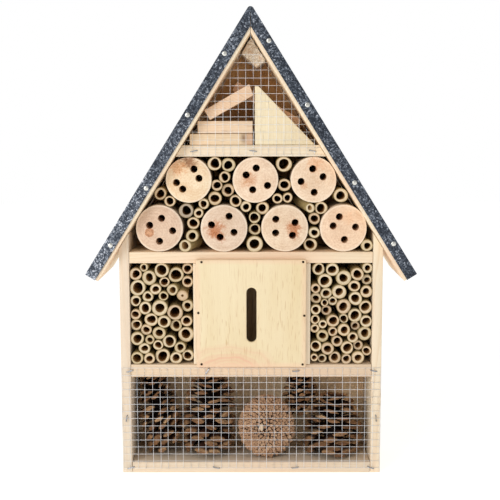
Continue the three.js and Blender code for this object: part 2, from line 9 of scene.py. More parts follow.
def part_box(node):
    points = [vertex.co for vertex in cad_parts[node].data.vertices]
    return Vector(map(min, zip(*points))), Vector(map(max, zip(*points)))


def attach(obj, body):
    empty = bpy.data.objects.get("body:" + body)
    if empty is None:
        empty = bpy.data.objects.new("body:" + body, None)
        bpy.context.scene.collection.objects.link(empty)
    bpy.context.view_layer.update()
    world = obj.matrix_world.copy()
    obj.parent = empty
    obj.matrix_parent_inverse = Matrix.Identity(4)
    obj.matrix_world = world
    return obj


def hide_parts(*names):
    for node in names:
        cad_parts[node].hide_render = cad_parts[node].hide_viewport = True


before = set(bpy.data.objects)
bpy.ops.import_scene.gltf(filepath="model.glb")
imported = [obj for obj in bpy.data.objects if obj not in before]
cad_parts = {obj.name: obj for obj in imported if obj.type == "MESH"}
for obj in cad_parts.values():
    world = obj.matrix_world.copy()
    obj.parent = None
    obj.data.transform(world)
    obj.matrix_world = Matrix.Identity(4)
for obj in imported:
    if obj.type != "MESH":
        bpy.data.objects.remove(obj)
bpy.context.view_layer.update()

MM = 0.001
BODY = "root"
GOLDEN_ANGLE = radians(137.50776)

# -------- camera, light and floor

CAMERA_PLACE = (0.0026, -0.8288, 0.2920)
CAMERA_PITCH = 0.124
CAMERA_YAW = 0.004
CAMERA_ROLL = 0.002
CAMERA_LENS = 68.9
SENSOR = 36
WORLD_LIGHT = 0.54
FLOOR_GLOW = 0.56


def add_object(name, data):
    added = bpy.data.objects.new(name, data)
    bpy.context.scene.collection.objects.link(added)
    return added


def add_camera():
    data = bpy.data.cameras.new("camera")
    data.sensor_width = SENSOR
    data.lens = CAMERA_LENS
    camera = add_object("camera", data)
    camera.location = CAMERA_PLACE
    camera.rotation_euler = (pi / 2 - CAMERA_PITCH, CAMERA_ROLL, CAMERA_YAW)
    bpy.context.scene.camera = camera


def add_area_light(name, place, target, size, power, colour):
    data = bpy.data.lights.new(name, "AREA")
    data.shape = "DISK"
    data.size = size
    data.energy = power
    data.color = colour
    light = add_object(name, data)
    light.location = place
    light.rotation_euler = (Vector(target) - Vector(place)).to_track_quat("-Z", "Y").to_euler()


def add_world():
    """White to the eye, and a softer, even light on the object."""
    world = bpy.data.worlds.new("studio")
    bpy.context.scene.world = world
    world.use_nodes = True
    nodes, links = world.node_tree.nodes, world.node_tree.links
    nodes.clear()
    mix = nodes.new("ShaderNodeMixShader")
    links.new(nodes.new("ShaderNodeLightPath").outputs["Is Camera Ray"], mix.inputs[0])
    for index, colour, strength in ((1, (1, 0.99, 0.98, 1), WORLD_LIGHT), (2, (1, 1, 1, 1), 1)):
        background = nodes.new("ShaderNodeBackground")
        background.inputs["Color"].default_value = colour
        background.inputs["Strength"].default_value = strength
        links.new(background.outputs[0], mix.inputs[index])
    links.new(mix.outputs[0], nodes.new("ShaderNodeOutputWorld").inputs[0])


def add_studio():
    bpy.context.scene.view_settings.view_transform = "Standard"
    add_world()
    add_area_light("key", (-1.20, -1.80, 1.00), (0, 0, 0.2), 1.1, 12, (1, 0.985, 0.965))
    add_area_light("fill", (-1.50, -1.40, 0.44), (0, 0, 0.3), 0.80, 7, (1, 0.975, 0.94))
    bm = bmesh.new()
    bmesh.ops.create_grid(bm, x_segments=8, y_segments=8, size=3)
    finish_mesh("studio_floor", bm, floor_material())


# -------- node helpers


def linear(level):
    """The renderer's value for a display level from 0 to 255."""
    level /= 255
    return level / 12.92 if level <= 0.04045 else ((level + 0.055) / 1.055) ** 2.4


def paint(shade):
    """The renderer's colour for a display colour such as "#f0e2c8", for a grey or for linear values."""
    if isinstance(shade, str):
        shade = [linear(int(shade[start:start + 2], 16)) for start in (1, 3, 5)]
    elif isinstance(shade, (int, float)):
        shade = [shade] * 3
    return (*shade, 1)


def scaled(shade, share):
    """A lighter or darker shade, in linear values."""
    return tuple(min(1, value * share) for value in paint(shade)[:3])


def feed(socket, value):
    """Links a value into a node's input, or sets the input to a number, vector or colour."""
    if isinstance(value, Value):
        socket.id_data.links.new(value.socket, socket)
    else:
        socket.default_value = paint(value) if socket.type == "RGBA" else value


class Value:
    """A node's output. Arithmetic and the calls below feed it into a new node, and give that
    node's output."""

    def __init__(self, socket):
        self.socket = socket

    def node(self, kind, inputs, output=0, **settings):
        node = self.socket.id_data.nodes.new("ShaderNode" + kind)
        for key, value in settings.items():
            setattr(node, key, value)
        for key, value in inputs.items():
            feed(node.inputs[key], value)
        return Value(node.outputs[output])

    def siblings(self):
        """Every output of the node that made this value."""
        return [Value(socket) for socket in self.socket.node.outputs]

    def math(self, operation, *others):
        return self.node("Math", dict(enumerate((self, *others))), operation=operation)

    def __add__(self, other):
        return self.math("ADD", other)

    def __sub__(self, other):
        return self.math("SUBTRACT", other)

    def __mul__(self, other):
        return self.math("MULTIPLY", other)

    def __truediv__(self, other):
        return self.math("DIVIDE", other)

    def clamped(self):
        """Keeps the sum or product that made this value within 0 and 1."""
        self.socket.node.use_clamp = True
        return self

    def vector(self, operation, other):
        return self.node("VectorMath", {0: self, 1: other}, operation=operation)

    def length(self):
        return self.node("VectorMath", {0: self}, "Value", operation="LENGTH")

    def separate(self):
        return self.node("SeparateXYZ", {0: self}).siblings()

    def mapped(self, location=(0, 0, 0), rotation=(0, 0, 0), scale=(1, 1, 1)):
        inputs = {"Vector": self, "Location": location, "Rotation": rotation, "Scale": scale}
        return self.node("Mapping", inputs, vector_type="POINT")

    def noise(self, scale, detail=3, roughness=0.5):
        """Noise at this place, from 0 to 1. A scale of three numbers stretches it along the axes."""
        if isinstance(scale, tuple):
            return self.mapped(scale=scale).noise(1, detail, roughness)
        inputs = {"Vector": self, "Scale": scale, "Detail": detail, "Roughness": roughness}
        return self.node("TexNoise", inputs, "Fac")

    def cells(self, scale, output="Color"):
        return self.node("TexVoronoi", {"Vector": self, "Scale": scale}, output, feature="F1")

    def ramp(self, *stops, smooth=False):
        """Each stop is a position with a grey or a colour."""
        value = self.node("ValToRGB", {0: self}, "Color")
        ramp = value.socket.node.color_ramp
        ramp.interpolation = "EASE" if smooth else "LINEAR"
        while len(ramp.elements) < len(stops):
            ramp.elements.new(0.5)
        for element, (position, shade) in zip(ramp.elements, stops):
            element.position = position
            element.color = paint(shade)
        return value

    def blend(self, first, second):
        """The first colour where this value is 0 and the second where it is 1."""
        inputs = {"Factor": self, 6: first, 7: second}
        return self.node("Mix", inputs, 2, data_type="RGBA")

    def bump(self, distance, strength=1, normal=None):
        inputs = {"Distance": distance, "Strength": strength, "Height": self}
        if normal is not None:
            inputs["Normal"] = normal
        return self.node("Bump", inputs, "Normal")


class Graph:
    """A material with one Principled shader, and the object's own coordinates as its place."""

    def __init__(self, name):
        self.material = bpy.data.materials.new(name)
        self.material.use_nodes = True
        self.nodes = self.material.node_tree.nodes
        self.inputs = self.nodes["Principled BSDF"].inputs
        self.place = Value(self.nodes.new("ShaderNodeTexCoord").outputs["Object"])

    def attribute(self, name):
        """The four channels of a colour attribute."""
        node = self.nodes.new("ShaderNodeAttribute")
        node.attribute_name = name
        colour, alpha = Value(node.outputs["Color"]), Value(node.outputs["Alpha"])
        return [*colour.node("SeparateColor", {0: colour}).siblings(), alpha]

    def finish(self, colour, roughness, normal, metallic=0, specular=0.4):
        for name, value in (("Base Color", colour), ("Roughness", roughness), ("Normal", normal),
                            ("Metallic", metallic), ("Specular IOR Level", specular)):
            if value is not None:
                feed(self.inputs[name], value)
        return self.material


# -------- materials

ALONG_Z = (0, 0, 0)
ALONG_X = (0, pi / 2, 0)


def floor_material():
    """A pale sweep lit from beneath, as a light table is."""
    graph = Graph("studio_floor")
    colour = graph.place.noise(3, 2).blend((0.92, 0.92, 0.92), (0.94, 0.94, 0.94))
    feed(graph.inputs["Emission Color"], colour)
    feed(graph.inputs["Emission Strength"], FLOOR_GLOW)
    return graph.finish(colour, 0.9, None, specular=0.1)


def knot_and_end_shadow(place, colour, x, z, end):
    """A small dark knot, and painted shadow of the triangle offcut beside it: darker and pinker
    towards the lath's right end.
    """
    away = place.vector("SUBTRACT", (x, 0, z)).vector("MULTIPLY", (1, 0, 0.55))
    reach = away.length() + place.noise(700, 2) * (0.8 * MM)
    inward = (place.separate()[0] - end) * -1
    # painted shadow of the triangle offcut: darker and pinker towards the lath's right end
    colour = inward.ramp((0.004, 0.5), (0.0075, 0)).blend(colour, "#c48e6c")
    return reach.ramp((0.0011, 0.9), (0.0018, 0)).blend(colour, "#68422c")


def wood_material(name, turn, seed, pale, dark, heart=(0.05, 0.03), ring=2.6, contrast=0.5,
                  roughness=0.58, dashes=0.35, blush=None, tilt=(0.02, 0.01), saw=0, knot=None):
    """Planed softwood as a solid texture: growth rings round a heart that lies off the board,
    fibres along the grain, short resin dashes and slow changes of tone."""
    graph = Graph(name)
    spun = graph.place.mapped(rotation=turn)
    grain = spun.mapped((seed * 0.37, seed * 0.61, seed * 0.23))
    drift = (grain.noise((26, 26, 5), 2) - 0.5) * 0.010
    x, y, _ = spun.mapped((*heart, 0), (*tilt, 0)).separate()
    rings = (((x * x + y * y).math("SQRT") + drift) / (ring * MM)).math("FRACT")
    late = rings.ramp((0, 0.15), (0.55, 0.3), (0.86, 1), (0.93, 0.9), (1, 0.15))
    fibre = grain.noise((900, 900, 22), 3, 0.6)
    tone = grain.noise((14, 14, 4), 2)
    share = late * contrast * (tone + 0.35) + (fibre - 0.5) * 0.35
    colour = share.clamped().blend(pale, dark)
    if blush is not None:
        patch = grain.noise((18, 18, 6), 2).ramp((0.45, 0), (0.7, 1))
        colour = (patch * 0.6).blend(colour, blush)
    dash = grain.noise((1150, 1150, 95), 1).ramp((0.66, 0), (0.74, 1))
    shade = scaled(dark, 0.55)
    colour = (dash * dashes).blend(colour, shade)
    # a knot, and painted shadow towards the board's right end
    if knot is not None:
        colour = knot_and_end_shadow(graph.place, colour, *knot)
    normal = (fibre + late * 0.6).bump(0.00006, 0.6)
    if saw:
        marks = grain.noise((60, 60, 1500), 2)
        normal = marks.bump(0.00025, saw, normal)
        colour = (marks * (0.25 * saw)).blend(colour, shade)
    return graph.finish(colour, fibre * 0.12 + (roughness - 0.06), normal, specular=0.35)


def panel_material(low, high):
    """Smooth pale board: short brown vessel streaks along the grain, a pink arch of grain low on
    the left, and painted pinkish shade along its edges."""
    graph = Graph("panel_wood")
    place = graph.place
    middle, half = (low + high) / 2, (high - low) / 2
    x, y, z = place.vector("SUBTRACT", tuple(middle)).separate()
    grain = x.node("CombineXYZ", {0: x + place.noise((22, 22, 9), 2) * 0.006, 1: y, 2: z})
    tone = grain.noise((38, 20, 7), 3)
    colour = tone.ramp((0.3, 0), (0.72, 1)).blend("#f0e1be", "#e6d2a8")
    fibre = grain.noise((1300, 300, 26), 3, 0.65)
    colour = ((fibre - 0.35) * 0.55).clamped().blend(colour, "#dac096")
    dash = grain.noise((1150, 300, 105), 1).ramp((0.60, 0), (0.70, 1))
    where = grain.noise((30, 20, 10), 2).ramp((0.36, 0.15), (0.62, 1))
    colour = (dash * where * 0.7).blend(colour, "#ccaa7a")
    heart = grain.vector("SUBTRACT", (-0.36 * half.x, 0, -1.06 * half.z)).vector("MULTIPLY", (0.52, 0, 1))
    reach = heart.length() + (place.noise((60, 20, 60), 3) - 0.5) * 0.007
    near = reach.ramp((0, 0.9), (0.008, 0.6), (0.0122, 1), (0.0152, 0.15), (0.019, 0.5), (0.023, 0))
    arch = (reach * 2300).math("SINE") * 0.18 + 0.8
    colour = (near * arch).blend(colour, "#e6ba9a")
    # painted shade: pinkish darkening along the panel's edges, where they round off
    rim = (x.math("ABSOLUTE") / half.x).math("MAXIMUM", z.math("ABSOLUTE") / half.z)
    edge = (rim + (tone - 0.5) * 0.05).ramp((0.9, 0), (0.965, 1))
    colour = (edge * 0.5).blend(colour, "#eecaaa")
    return graph.finish(colour, 0.55, fibre.bump(0.00006, 0.6), specular=0.35)


def plywood_material():
    """Thin matt plywood: broad upright figure, and painted light that changes with height: warm
    brown bounced light towards the gable and greyer shade at the foot.
    """
    graph = Graph("back_panel_ply")
    place = graph.place
    figure = place.noise((150, 150, 4), 3, 0.55).ramp((0.38, 0), (0.66, 1))
    fibre = place.noise((1100, 1100, 24), 3, 0.6)
    # painted light by height: warm bounced light towards the gable, greyer shade at the foot
    up = place.separate()[2].ramp((0.09, 0), (0.26, 1))
    pale = up.blend("#f6deba", "#ecba7e")
    deep = up.blend("#d8ba94", "#ca9258")
    colour = (figure * 0.6 + (fibre - 0.5) * 0.7).clamped().blend(pale, deep)
    patch = place.noise((24, 24, 11), 2).ramp((0.45, 0), (0.75, 0.5))
    colour = patch.blend(colour, "#c49c74")
    dash = place.noise((1300, 1300, 70), 1).ramp((0.64, 0), (0.72, 1))
    colour = (dash * 0.45).blend(colour, "#744e30")
    return graph.finish(colour, 0.72, fibre.bump(0.00008, 0.6), specular=0.25)


def log_material(name, x, z, radius, seed, pale, deep, rough, knots):
    """The sawn end of a peeled log: faint rings, rays from the heart, saw grain, a paler rim and
    reddish knots that streak outwards."""
    graph = Graph(name)
    place = graph.place
    heart = (x + 0.25 * radius * sin(seed), 0, z + 0.2 * radius * cos(seed * 2))
    flat = place.vector("MULTIPLY", (1, 0.02, 1))
    wander = flat.mapped((seed, seed, 0), scale=(90, 90, 90)).noise(1)
    reach = flat.vector("SUBTRACT", heart).length() + wander * 0.0022
    late = (reach / 0.0021).math("FRACT").ramp((0, 0.1), (0.6, 0.25), (0.88, 1), (1, 0.1))
    speck = place.mapped((0, 0, seed), scale=(760, 100, 760)).noise(1, 4, 0.75)
    saw = place.mapped(rotation=(0, seed, 0), scale=(55, 10, 900)).noise(1, 2, 0.6)
    tone = flat.mapped((0, seed, seed), scale=(70, 70, 70)).noise(1)
    share = late * 0.26 + (tone - 0.42) * 1.4 + (speck - 0.42) * 2.1 + (saw - 0.42) * 0.6 + 0.1
    colour = share.clamped().blend(pale, deep)
    rim = (flat.vector("SUBTRACT", (x, 0, z)).length() / radius).ramp((0.9, 0), (0.985, 1))
    colour = (rim * 0.55).blend(colour, "#fcecd6")
    for index, (across, up, size, shade, depth) in enumerate(knots):
        away = flat.vector("SUBTRACT", (x + across * MM, 0, z + up * MM))
        far = away.length()
        side, _, rise = away.separate()
        turn = rise.math("ARCTAN2", side) * 3.2
        rays = far.node("CombineXYZ", {0: turn, 1: far * 260, 2: seed + index}).noise(1, 4, 0.7)
        ragged = far + (rays - 0.5) * (size * rough * MM)
        spot = (ragged / (size * MM)).ramp((1 - 0.3 * rough, 1), (1, 0), smooth=True)
        colour = (spot * depth).blend(colour, shade)
        fleck = (spot * speck).ramp((0.5, 0), (0.66, 1))
        colour = (fleck * depth).blend(colour, scaled(shade, 0.4))
    return graph.finish(colour, 0.8, (speck + late * 0.4).bump(0.00016, 0.8), specular=0.2)


def bamboo_material():
    """Dried cane. The attribute part holds: red a tube's own tint, green 1 on the sawn end,
    blue 0 at the bore and 1 at the skin."""
    graph = Graph("bamboo")
    place = graph.place
    tint, cut, out, _ = graph.attribute("part")
    fibre = place.noise((1600, 30, 1600), 3, 0.6)
    mottle = place.noise(420, 4, 0.65)
    skin = (fibre * 0.4).blend(mottle.blend("#c0b48a", "#8a7850"), "#705c3a")
    side = out.blend(fibre.blend("#d4b482", "#9c764c"), skin)
    bundle = place.mapped(scale=(1, 0.1, 1)).cells(2600, "Distance").ramp((0.12, 1), (0.34, 0))
    # across the sawn end: painted shade at the bore's mouth, where the end turns into the bore, and a darker
    # band just inside the skin
    end = out.ramp((0, "#aa8c64"), (0.10, "#e8ddc8"), (0.55, "#e4d7c1"),
                   (0.84, "#d4c4a7"), (0.95, "#a6946e"), (1, "#b2a682"))
    end = (bundle * (out * 0.55)).blend(end, "#846846")
    end = mottle.ramp((0.42, 0), (0.75, 0.4)).blend(end, "#b69c7a")
    warm = tint.ramp((0, "#e2d8bc"), (0.3, "#fcf6e8"), (0.62, "#faecd8"),
                     (0.85, "#eedcca"), (1, "#beb6b2"))
    inputs = {"Factor": 0.85, 6: cut.blend(side, end), 7: warm}
    colour = warm.node("Mix", inputs, 2, data_type="RGBA", blend_type="MULTIPLY")
    return graph.finish(colour, cut * 0.28 + 0.5, (fibre + bundle * 0.5).bump(0.00008, 0.6), specular=0.35)


def cone_material(name, underside_and_shade, upper, tip, rim, beak):
    """Pine cone scales. The attribute part holds: red a scale's own tint, green 0 at its root and
    1 at its tip, blue 1 on its upper side, alpha 1 on its blunt end. Dark at the root and on the
    underside: partly the scales' own colour, partly painted shade between the scales."""
    graph = Graph(name)
    tint, along, above, end = graph.attribute("part")
    grit = graph.place.noise(1300, 4, 0.7)
    # dark underside, partly the scales' own colour and partly painted shade between the scales
    body = (grit * 0.7).blend(above.blend(underside_and_shade, upper), scaled(underside_and_shade, 0.35))
    face = graph.place.noise(150, 3).ramp((0.35, 0), (0.7, 1)).blend(tip, scaled(tip, 0.55))
    face = (grit.ramp((0.42, 0), (0.62, 1)) * 0.75).blend(face, rim)
    face = tint.ramp((0.2, 0), (0.8, 0.75)).blend(face, scaled(tip, 0.42))
    face = tint.ramp((0, 0.7), (0.22, 0)).blend(face, scaled(rim, 1.25))
    # dark from the root most of the way out: partly painted shade in the gaps between scales
    colour = along.ramp((0.80, 0), (0.92, 1)).blend(body, face)
    return graph.finish((end * 0.6).blend(colour, beak), 0.75, grit.bump(0.0003, 0.8), specular=0.2)


def galvanised_material():
    """Dark weathered zinc, finely speckled where small crystals catch the light, with a painted
    sheen that lightens the left slope towards its eave.
    """
    graph = Graph("galvanised_sheet")
    place = graph.place
    crystal = place.cells(780).separate()[0]
    fine = place.cells(1500).separate()[1]
    shade = (crystal * 0.5 + fine * 0.4 + (place.noise(60, 4, 0.65) - 0.5) * 0.5).clamped()
    # painted sheen: lighter towards the left slope's eave, on the side the lamps light
    painted_left_sheen = (place.separate()[0] + 0.2).ramp((0.064, 0.26), (0.12, 0.06), (0.2, 0.04))
    shade = (shade + painted_left_sheen).clamped()
    colour = shade.ramp((0, "#1a1e26"), (0.42, "#343a44"), (0.66, "#58606c"),
                        (0.82, "#969eaa"), (0.96, "#dadee6"))
    normal = shade.bump(0.00005, 0.5, place.noise(22, 2).bump(0.0012, 0.35))
    return graph.finish(colour, crystal * 0.25 + 0.36, normal, metallic=0.55)


def metal_material(name, pale, dull, roughness, scale=700, metallic=1):
    graph = Graph(name)
    grime = graph.place.noise(scale, 3, 0.6)
    colour = (grime * graph.place.noise(scale * 0.2, 2)).blend(pale, dull)
    return graph.finish(colour, grime * 0.18 + roughness, grime.bump(0.00005, 0.5), metallic=metallic)


# -------- mesh helpers


def finish_mesh(name, bm, material, sharp=radians(32)):
    bmesh.ops.recalc_face_normals(bm, faces=bm.faces)
    mesh = bpy.data.meshes.new(name)
    bm.to_mesh(mesh)
    bm.free()
    mesh.materials.append(material)
    for polygon in mesh.polygons:
        polygon.use_smooth = True
    mesh.set_sharp_from_angle(angle=sharp)
    return add_object(name, mesh)


def add_piece(name, bm, material, slot, *nodes, sharp=radians(32)):
    """A finished piece that rides on the part's one body and stands for the CAD nodes named."""
    piece = finish_mesh(name, bm, material, sharp)
    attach(piece, BODY)
    if nodes:
        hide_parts(*nodes)


def repaint(node, material):
    """Gives a CAD node that keeps its mesh a better material."""
    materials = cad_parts[node].data.materials
    materials.clear()
    materials.append(material)


def cad_mesh(node):
    """The node's mesh with its shared corners merged."""
    bm = bmesh.new()
    bm.from_mesh(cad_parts[node].data)
    bmesh.ops.remove_doubles(bm, verts=bm.verts, dist=2e-6)
    return bm


def extent(points):
    """The lowest and the highest value along each axis."""
    return [min(axis) for axis in zip(*points)], [max(axis) for axis in zip(*points)]


SHORTEST_ARRIS = 4 * MM


def softened(node, material, slot, width):
    """The CAD board again, with its arrises eased as sanding leaves them."""
    bm = cad_mesh(node)
    bmesh.ops.dissolve_limit(bm, angle_limit=radians(1), verts=bm.verts, edges=bm.edges)
    edges = [edge for edge in bm.edges if edge.is_manifold and edge.calc_face_angle() > radians(25)
             and edge.calc_length() > SHORTEST_ARRIS]
    bmesh.ops.bevel(bm, geom=edges, offset=width, segments=2, profile=0.5, affect="EDGES", clamp_overlap=True)
    add_piece(node + "_finished", bm, material, slot, node)


def front_loops(node):
    """The closed outlines of a node's flat front, each as its corners in order."""
    bm = cad_mesh(node)
    front = min(vert.co.y for vert in bm.verts)
    flat = {face for face in bm.faces if all(abs(vert.co.y - front) < 1e-5 for vert in face.verts)}
    near = {}
    for edge in bm.edges:
        if sum(face in flat for face in edge.link_faces) == 1:
            first, second = edge.verts
            near.setdefault(first, []).append(second)
            near.setdefault(second, []).append(first)
    loops = []
    while near:
        vert = next(iter(near))
        loop = []
        while vert is not None:
            loop.append(vert.co.copy())
            after = near.pop(vert)
            vert = next((other for other in after if other in near), None)
        loops.append(loop)
    bm.free()
    return loops


def front_rings(node):
    """The round outlines of a node's flat front, widest first, as (middle x, middle z, mean radius)."""
    rings = []
    for loop in front_loops(node):
        middle = sum(loop, Vector()) / len(loop)
        rings.append((middle.x, middle.z, sum((co - middle).length for co in loop) / len(loop)))
    return sorted(rings, key=lambda ring: -ring[2])


def fill_between(bm, *rings):
    """A flat face bounded by the first ring, with the others as holes in it."""
    edges = []
    for ring in rings:
        edges += [bm.edges.get((ring[index - 1], ring[index])) for index in range(len(ring))]
    bmesh.ops.triangle_fill(bm, use_beauty=True, edges=edges)


def ring_of(bm, sides, point):
    """A ring of vertices: point(angle) gives each one's place."""
    return [bm.verts.new(point(2 * pi * index / sides)) for index in range(sides)]


def flat_ring(bm, sides, x, y, z, radius):
    """A round ring that faces forward."""
    return ring_of(bm, sides, lambda angle: (x + radius * cos(angle), y, z + radius * sin(angle)))


def painted_mesh():
    """An empty mesh whose vertices hold the attribute part, and that attribute's layer."""
    bm = bmesh.new()
    return bm, bm.verts.layers.float_color.new("part")


def painted(bm, layer, place, part):
    vert = bm.verts.new(place)
    vert[layer] = part
    return vert


def skin_rings(bm, rings):
    for first, second in zip(rings, rings[1:]):
        for index in range(len(first)):
            after = (index + 1) % len(first)
            bm.faces.new((first[index], first[after], second[after], second[index]))


def close_rings(bm, rings):
    """A skin over the rings, with a face across each end."""
    skin_rings(bm, rings)
    bm.faces.new(rings[0])
    bm.faces.new(rings[-1])


def close_to_beak(bm, rings, beak):
    """A skin over the rings, with a face across the first and the last drawn up to a point."""
    skin_rings(bm, rings)
    bm.faces.new(rings[0])
    last = rings[-1]
    for index, vert in enumerate(last):
        bm.faces.new((vert, last[(index + 1) % len(last)], beak))


# -------- the case

# Each board: turn of its grain, seed, place of its heart, tilt.
CASE_GRAIN = {
    "side_wall_left": (ALONG_Z, 3, (0.06, 0.11), (0.03, 0.01)),
    "side_wall_right": (ALONG_Z, 5, (-0.07, 0.12), (0.02, -0.02)),
    "floor_board": (ALONG_X, 7, (0.07, 0.05), (0.02, 0.02)),
    "lower_shelf": (ALONG_X, 9, (-0.02, 0.07), (0.01, -0.02)),
    "middle_shelf": (ALONG_X, 11, (0.05, -0.08), (-0.01, 0.02)),
    "attic_floor": (ALONG_X, 13, (0.06, 0.06), (0.02, 0.01)),
    "divider_left": (ALONG_Z, 15, (0.05, 0.09), (0.02, 0.02)),
    "divider_right": (ALONG_Z, 17, (-0.05, 0.10), (0.01, 0.02)),
}
# The pale and warm tone of most boards, and of those that differ.
PLAIN_TONES = ("#f0e2c8", "#f0d6ba")
CASE_TONES = {
    "middle_shelf": ("#f2dec0", "#f2caaa"),
    "lower_shelf": ("#e4ceb2", "#e2bea0"),
    "floor_board": ("#e6d4bc", "#e4c4a6"),
    "side_wall_left": ("#e6dac6", "#e4ceb6"),
}
ARRIS = 0.45 * MM


def add_case():
    for node, (turn, seed, heart, tilt) in CASE_GRAIN.items():
        pale, blush = CASE_TONES.get(node, PLAIN_TONES)
        material = wood_material(node + "_pine", turn, seed, pale, "#daba92", heart, tilt=tilt,
                                 contrast=0.42, dashes=0.2, blush=blush)
        softened(node, material, "case_pine", ARRIS)
    repaint("back_panel", plywood_material())


PANEL_EDGE = 0.7 * MM
PANEL_CORNER = 1.2 * MM
CORNER_STEPS = 5
SLOT_STEPS = 12


def rounded_rectangle(low, high, radius, steps):
    """A rectangle's outline in X and Z with quarter-round corners, anticlockwise."""
    points = []
    left, right, bottom, top = low.x + radius, high.x - radius, low.z + radius, high.z - radius
    for corner, (x, z) in enumerate(((right, top), (left, top), (left, bottom), (right, bottom))):
        for step in range(steps + 1):
            angle = pi / 2 * (corner + step / steps)
            points.append((x + radius * cos(angle), z + radius * sin(angle)))
    return points


def widened(points, offset):
    """An outline about its own middle, with its edges moved out by the offset."""
    spans = list(zip(*extent(points)))
    return [[(low + high) / 2 + (value - (low + high) / 2) * (1 + 2 * offset / (high - low))
             for value, (low, high) in zip(point, spans)] for point in points]


def add_butterfly_panel():
    """The thin square front with its upright slot, both with lightly sanded edges."""
    node = "butterfly_panel"
    low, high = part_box(node)
    openings = [extent(loop) for loop in front_loops(node) if len(loop) > 4]
    slot_low, slot_high = map(Vector, max(openings, key=lambda box: box[1][2] - box[0][2]))
    bm = bmesh.new()

    def wall(points, grow):
        steps = [(grow * 2.6, low.y), (grow, low.y), (grow * 0.3, low.y + 0.3 * PANEL_EDGE),
                 (0, low.y + PANEL_EDGE), (0, high.y - PANEL_EDGE), (grow, high.y), (grow * 2.6, high.y)]
        rings = [[bm.verts.new((x, y, z)) for x, z in widened(points, share)] for share, y in steps]
        skin_rings(bm, rings)
        return rings

    outside = wall(rounded_rectangle(low, high, PANEL_CORNER, CORNER_STEPS), -PANEL_EDGE)
    round_end = (slot_high.x - slot_low.x) / 2 * 0.999
    inside = wall(rounded_rectangle(slot_low, slot_high, round_end, SLOT_STEPS), PANEL_EDGE * 0.6)
    fill_between(bm, outside[0], inside[0])
    fill_between(bm, outside[-1], inside[-1])
    add_piece(node + "_finished", bm, panel_material(low, high), "front_panel", node)


def add_roof():
    low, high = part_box("roof_cover")
    slope = atan2(high.x, high.z - low.z)
    for name, turn, seed in (("left", slope, 41), ("right", -slope, 43)):
        material = wood_material("roof_pine_" + name, (0, turn, 0), seed, "#f6e6ca",
                                 "#e0bc92", (0.08, 0.09), contrast=0.4, dashes=0.15,
                                 blush="#f0c8a8")
        softened("roof_board_" + name, material, "roof_pine", ARRIS)
    repaint("roof_cover", galvanised_material())


# -------- nails, brads, screws and staples

HEAD_SIDES = 24
# Over a head's dome: share of its radius, depth against the dome's height.
HEAD_DOME = [(0.30, 0.05), (0.62, 0.12), (0.86, 0.32), (0.98, 0.62), (1, 0.82), (0.94, 1), (0.3, 1.02)]
TALLEST_DOME = 0.9 * MM


def add_head(node, material, slot):
    """A low domed head on its shank, a little askew, where the CAD fastener is."""
    low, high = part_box(node)
    middle = (low + high) / 2
    inward, face = (1, low.y) if middle.y < 0 else (-1, high.y)
    radius = (high.x - low.x) / 2
    dome = min(radius * 0.38, TALLEST_DOME)
    dice = Random(node)
    lean = (dice.uniform(-0.12, 0.12), dice.uniform(-0.12, 0.12))
    bm = bmesh.new()
    rings = []
    for share, depth in HEAD_DOME:
        def place(angle):
            across, up = radius * share * cos(angle), radius * share * sin(angle)
            tilt = (across * lean[0] + up * lean[1]) * 0.5
            return (middle.x + across, face + inward * (dome * (depth + 0.3) + tilt), middle.z + up)
        rings.append(ring_of(bm, HEAD_SIDES, place))
    for share in (0.25, 0.98):
        y = face + inward * (high.y - low.y) * share
        rings.append(flat_ring(bm, HEAD_SIDES, middle.x, y, middle.z, 0.28 * radius))
    close_rings(bm, rings)
    add_piece(node + "_head", bm, material, slot, node)


def add_fasteners():
    bright = metal_material("zinc_heads", "#eeeee8", "#96948a", 0.18)
    dark = metal_material("dark_heads", "#46382c", "#241c16", 0.5)
    for node in sorted(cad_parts):
        if node.startswith(("roof_nail", "hanger_screw")):
            add_head(node, bright, "steel")
        if node.startswith("brad"):
            add_head(node, dark, "dark_steel")
    softened("hanger_plate", bright, "steel", 0.3 * MM)


WIRE_SIDES = 6


def sweep(bm, points, radius):
    """A round wire through the points."""
    rings = []
    for index, place in enumerate(points):
        ahead = points[min(index + 1, len(points) - 1)] - points[max(index - 1, 0)]
        turn = ahead.to_track_quat("Z", "Y").to_matrix()
        rings.append(ring_of(bm, WIRE_SIDES, lambda angle: (
            place + turn @ Vector((radius * cos(angle), radius * sin(angle), 0)))))
    close_rings(bm, rings)


STAPLE_CROWN = 5.4 * MM
STAPLE_WIRE = 0.5 * MM
STAPLE_CORNER = 0.6 * MM
STAPLE_PROUD = 1.55 * MM
STAPLE_LEG = 5 * MM
# Each staple: place across in millimetres, the board whose front takes it, turn in degrees.
STAPLES = [
    (-47, "attic_floor", 12), (2, "attic_floor", -8), (51, "attic_floor", -10),
    (-103, "lower_shelf", 20), (-37, "lower_shelf", 60), (38, "lower_shelf", 5), (104, "lower_shelf", -12),
    (-103.5, "floor_board", 15), (-30, "floor_board", -10), (37.5, "floor_board", 8),
    (102.5, "floor_board", -20),
]
WALL_STAPLES = [("side_wall_left", 80), ("side_wall_right", 95)]


def add_staple(bm, x, z, front, turn):
    across = Vector((cos(turn), 0, sin(turn)))
    half = STAPLE_CROWN / 2
    bends = [(half, STAPLE_LEG), (half, -0.35 * STAPLE_PROUD), (half - STAPLE_CORNER, -STAPLE_PROUD)]
    route = [(-reach, y) for reach, y in bends] + bends[::-1]
    sweep(bm, [Vector((x, front + y, z)) + across * reach for reach, y in route], STAPLE_WIRE)


